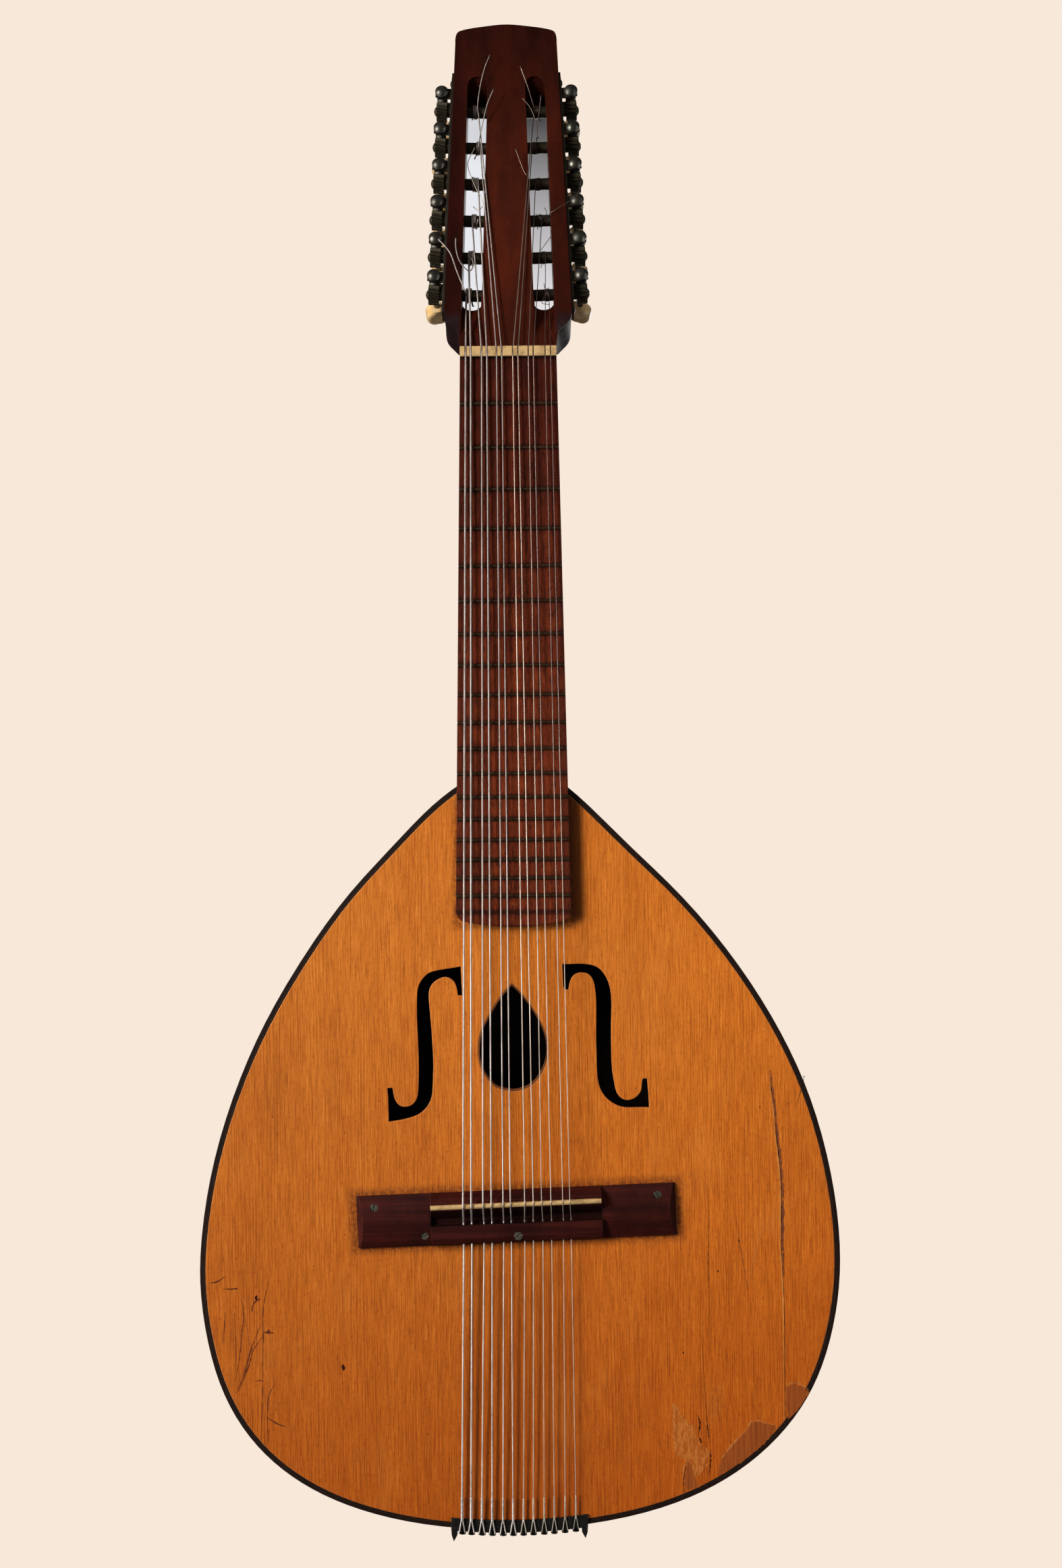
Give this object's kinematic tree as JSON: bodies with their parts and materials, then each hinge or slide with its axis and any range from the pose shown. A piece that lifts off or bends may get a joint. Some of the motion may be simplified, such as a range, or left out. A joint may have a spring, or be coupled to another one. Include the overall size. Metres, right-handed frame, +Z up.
{
  "type": "plucked lute",
  "caption": "Flat-backed plucked lute with a teardrop body, paired strings, fretted neck, screwed-down bridge, metal tailpiece and a slotted head with worm-geared tuning machines.",
  "frame": {"origin": "on the outer face of the flat back, on the centreline of the neck, at the body's widest station", "axes": "+Z runs up the neck to the head, -Y points out of the soundboard towards the player's audience and +Y out of the back, +X is the treble side"},
  "size_m": [0.3795, 0.1081, 0.9183],
  "materials": {
    "top_wood": "satin amber-brown varnish over straight-grained softwood",
    "edge_wood": "dark stained edging, satin",
    "rib_wood": "red-brown varnished hardwood, satin",
    "back_wood": "red-brown varnished hardwood, satin",
    "inner_wood": "bare softwood",
    "neck_wood": "dark red-brown varnished hardwood",
    "head_wood": "dark mahogany brown, satin",
    "board_wood": "oiled dark hardwood with fine streaks",
    "bridge_wood": "dark stained hardwood, worn edges",
    "bone": "aged bone, slightly yellowed",
    "button_cream": "aged cream, polished",
    "plate_metal": "tarnished pressed steel",
    "post_metal": "tarnished turned metal",
    "worm_metal": "tarnished turned steel",
    "screw_metal": "aged slotted screws",
    "tail_metal": "dark tarnished sheet steel",
    "fret_metal": "tarnished fret wire, polished crowns",
    "wound_wire": "copper-alloy wound wire",
    "plain_wire": "plain drawn steel wire"
  },
  "bodies": {
    "instrument": {"soundboard": "top_wood", "purfling": "edge_wood", "top_binding": "edge_wood", "back": "back_wood", "rib_bass": "rib_wood", "rib_treble": "rib_wood", "linings": "inner_wood", "tail_block": "inner_wood", "braces": "inner_wood", "neck": "neck_wood", "headstock": "head_wood", "head_facing": "head_wood", "fingerboard": "board_wood", "frets": "fret_metal", "nut": "bone", "bridge": "bridge_wood", "saddle": "bone", "bridge_screws": "screw_metal", "tailpiece": "tail_metal", "fixing_screws": "screw_metal", "machine_plate_bass": "plate_metal", "machine_plate_treble": "plate_metal", "wound_strings": "wound_wire", "plain_strings": "plain_wire"},
    "key_bass_1": {"worm_bass_1": "worm_metal", "button_bass_1": "button_cream"},
    "roller_bass_1": {"post_bass_1": "post_metal"},
    "key_bass_2": {"worm_bass_2": "worm_metal", "button_bass_2": "button_cream"},
    "roller_bass_2": {"post_bass_2": "post_metal"},
    "key_bass_3": {"worm_bass_3": "worm_metal", "button_bass_3": "button_cream"},
    "roller_bass_3": {"post_bass_3": "post_metal"},
    "key_bass_4": {"worm_bass_4": "worm_metal", "button_bass_4": "button_cream"},
    "roller_bass_4": {"post_bass_4": "post_metal"},
    "key_bass_5": {"worm_bass_5": "worm_metal", "button_bass_5": "button_cream"},
    "roller_bass_5": {"post_bass_5": "post_metal"},
    "key_bass_6": {"worm_bass_6": "worm_metal", "button_bass_6": "button_cream"},
    "roller_bass_6": {"post_bass_6": "post_metal"},
    "key_treble_1": {"worm_treble_1": "worm_metal", "button_treble_1": "button_cream"},
    "roller_treble_1": {"post_treble_1": "post_metal"},
    "key_treble_2": {"worm_treble_2": "worm_metal", "button_treble_2": "button_cream"},
    "roller_treble_2": {"post_treble_2": "post_metal"},
    "key_treble_3": {"worm_treble_3": "worm_metal", "button_treble_3": "button_cream"},
    "roller_treble_3": {"post_treble_3": "post_metal"},
    "key_treble_4": {"worm_treble_4": "worm_metal", "button_treble_4": "button_cream"},
    "roller_treble_4": {"post_treble_4": "post_metal"},
    "key_treble_5": {"worm_treble_5": "worm_metal", "button_treble_5": "button_cream"},
    "roller_treble_5": {"post_treble_5": "post_metal"},
    "key_treble_6": {"worm_treble_6": "worm_metal", "button_treble_6": "button_cream"},
    "roller_treble_6": {"post_treble_6": "post_metal"}
  },
  "joints": [
    {"name": "key_bass_1_turn", "type": "hinge", "parent": "instrument", "child": "key_bass_1", "pos_m": [-0.04415, -0.0579, 0.58471], "axis": [0, -0.9659, 0.2588], "continuous": true},
    {"name": "roller_bass_1_turn", "type": "hinge", "parent": "instrument", "child": "roller_bass_1", "pos_m": [-0.03744, -0.05997, 0.57698], "axis": [0.9993, -0.0095, -0.0354], "continuous": true},
    {"name": "key_bass_2_turn", "type": "hinge", "parent": "instrument", "child": "key_bass_2", "pos_m": [-0.04323, -0.05143, 0.60884], "axis": [0, -0.9659, 0.2588], "continuous": true},
    {"name": "roller_bass_2_turn", "type": "hinge", "parent": "instrument", "child": "roller_bass_2", "pos_m": [-0.03652, -0.05351, 0.60111], "axis": [0.9993, -0.0095, -0.0354], "continuous": true},
    {"name": "key_bass_3_turn", "type": "hinge", "parent": "instrument", "child": "key_bass_3", "pos_m": [-0.04232, -0.04497, 0.63297], "axis": [0, -0.9659, 0.2588], "continuous": true},
    {"name": "roller_bass_3_turn", "type": "hinge", "parent": "instrument", "child": "roller_bass_3", "pos_m": [-0.03561, -0.04704, 0.62524], "axis": [0.9993, -0.0095, -0.0354], "continuous": true},
    {"name": "key_bass_4_turn", "type": "hinge", "parent": "instrument", "child": "key_bass_4", "pos_m": [-0.0414, -0.0385, 0.6571], "axis": [0, -0.9659, 0.2588], "continuous": true},
    {"name": "roller_bass_4_turn", "type": "hinge", "parent": "instrument", "child": "roller_bass_4", "pos_m": [-0.03469, -0.04057, 0.64937], "axis": [0.9993, -0.0095, -0.0354], "continuous": true},
    {"name": "key_bass_5_turn", "type": "hinge", "parent": "instrument", "child": "key_bass_5", "pos_m": [-0.04049, -0.03204, 0.68123], "axis": [0, -0.9659, 0.2588], "continuous": true},
    {"name": "roller_bass_5_turn", "type": "hinge", "parent": "instrument", "child": "roller_bass_5", "pos_m": [-0.03377, -0.03411, 0.67351], "axis": [0.9993, -0.0095, -0.0354], "continuous": true},
    {"name": "key_bass_6_turn", "type": "hinge", "parent": "instrument", "child": "key_bass_6", "pos_m": [-0.03957, -0.02557, 0.70537], "axis": [0, -0.9659, 0.2588], "continuous": true},
    {"name": "roller_bass_6_turn", "type": "hinge", "parent": "instrument", "child": "roller_bass_6", "pos_m": [-0.03286, -0.02764, 0.69764], "axis": [0.9993, -0.0095, -0.0354], "continuous": true},
    {"name": "key_treble_1_turn", "type": "hinge", "parent": "instrument", "child": "key_treble_1", "pos_m": [0.04415, -0.0579, 0.58471], "axis": [0, -0.9659, 0.2588], "continuous": true},
    {"name": "roller_treble_1_turn", "type": "hinge", "parent": "instrument", "child": "roller_treble_1", "pos_m": [0.03744, -0.05997, 0.57698], "axis": [0.9993, 0.0095, 0.0354], "continuous": true},
    {"name": "key_treble_2_turn", "type": "hinge", "parent": "instrument", "child": "key_treble_2", "pos_m": [0.04323, -0.05143, 0.60884], "axis": [0, -0.9659, 0.2588], "continuous": true},
    {"name": "roller_treble_2_turn", "type": "hinge", "parent": "instrument", "child": "roller_treble_2", "pos_m": [0.03652, -0.05351, 0.60111], "axis": [0.9993, 0.0095, 0.0354], "continuous": true},
    {"name": "key_treble_3_turn", "type": "hinge", "parent": "instrument", "child": "key_treble_3", "pos_m": [0.04232, -0.04497, 0.63297], "axis": [0, -0.9659, 0.2588], "continuous": true},
    {"name": "roller_treble_3_turn", "type": "hinge", "parent": "instrument", "child": "roller_treble_3", "pos_m": [0.03561, -0.04704, 0.62524], "axis": [0.9993, 0.0095, 0.0354], "continuous": true},
    {"name": "key_treble_4_turn", "type": "hinge", "parent": "instrument", "child": "key_treble_4", "pos_m": [0.0414, -0.0385, 0.6571], "axis": [0, -0.9659, 0.2588], "continuous": true},
    {"name": "roller_treble_4_turn", "type": "hinge", "parent": "instrument", "child": "roller_treble_4", "pos_m": [0.03469, -0.04057, 0.64937], "axis": [0.9993, 0.0095, 0.0354], "continuous": true},
    {"name": "key_treble_5_turn", "type": "hinge", "parent": "instrument", "child": "key_treble_5", "pos_m": [0.04049, -0.03204, 0.68123], "axis": [0, -0.9659, 0.2588], "continuous": true},
    {"name": "roller_treble_5_turn", "type": "hinge", "parent": "instrument", "child": "roller_treble_5", "pos_m": [0.03377, -0.03411, 0.67351], "axis": [0.9993, 0.0095, 0.0354], "continuous": true},
    {"name": "key_treble_6_turn", "type": "hinge", "parent": "instrument", "child": "key_treble_6", "pos_m": [0.03957, -0.02557, 0.70537], "axis": [0, -0.9659, 0.2588], "continuous": true},
    {"name": "roller_treble_6_turn", "type": "hinge", "parent": "instrument", "child": "roller_treble_6", "pos_m": [0.03286, -0.02764, 0.69764], "axis": [0.9993, 0.0095, 0.0354], "continuous": true}
  ],
  "couplings": [
    {"joint": "roller_bass_1_turn", "follows": "key_bass_1_turn", "ratio": -0.071429},
    {"joint": "roller_bass_2_turn", "follows": "key_bass_2_turn", "ratio": -0.071429},
    {"joint": "roller_bass_3_turn", "follows": "key_bass_3_turn", "ratio": -0.071429},
    {"joint": "roller_bass_4_turn", "follows": "key_bass_4_turn", "ratio": -0.071429},
    {"joint": "roller_bass_5_turn", "follows": "key_bass_5_turn", "ratio": -0.071429},
    {"joint": "roller_bass_6_turn", "follows": "key_bass_6_turn", "ratio": -0.071429},
    {"joint": "roller_treble_1_turn", "follows": "key_treble_1_turn", "ratio": -0.071429},
    {"joint": "roller_treble_2_turn", "follows": "key_treble_2_turn", "ratio": -0.071429},
    {"joint": "roller_treble_3_turn", "follows": "key_treble_3_turn", "ratio": -0.071429},
    {"joint": "roller_treble_4_turn", "follows": "key_treble_4_turn", "ratio": -0.071429},
    {"joint": "roller_treble_5_turn", "follows": "key_treble_5_turn", "ratio": -0.071429},
    {"joint": "roller_treble_6_turn", "follows": "key_treble_6_turn", "ratio": -0.071429}
  ]
}
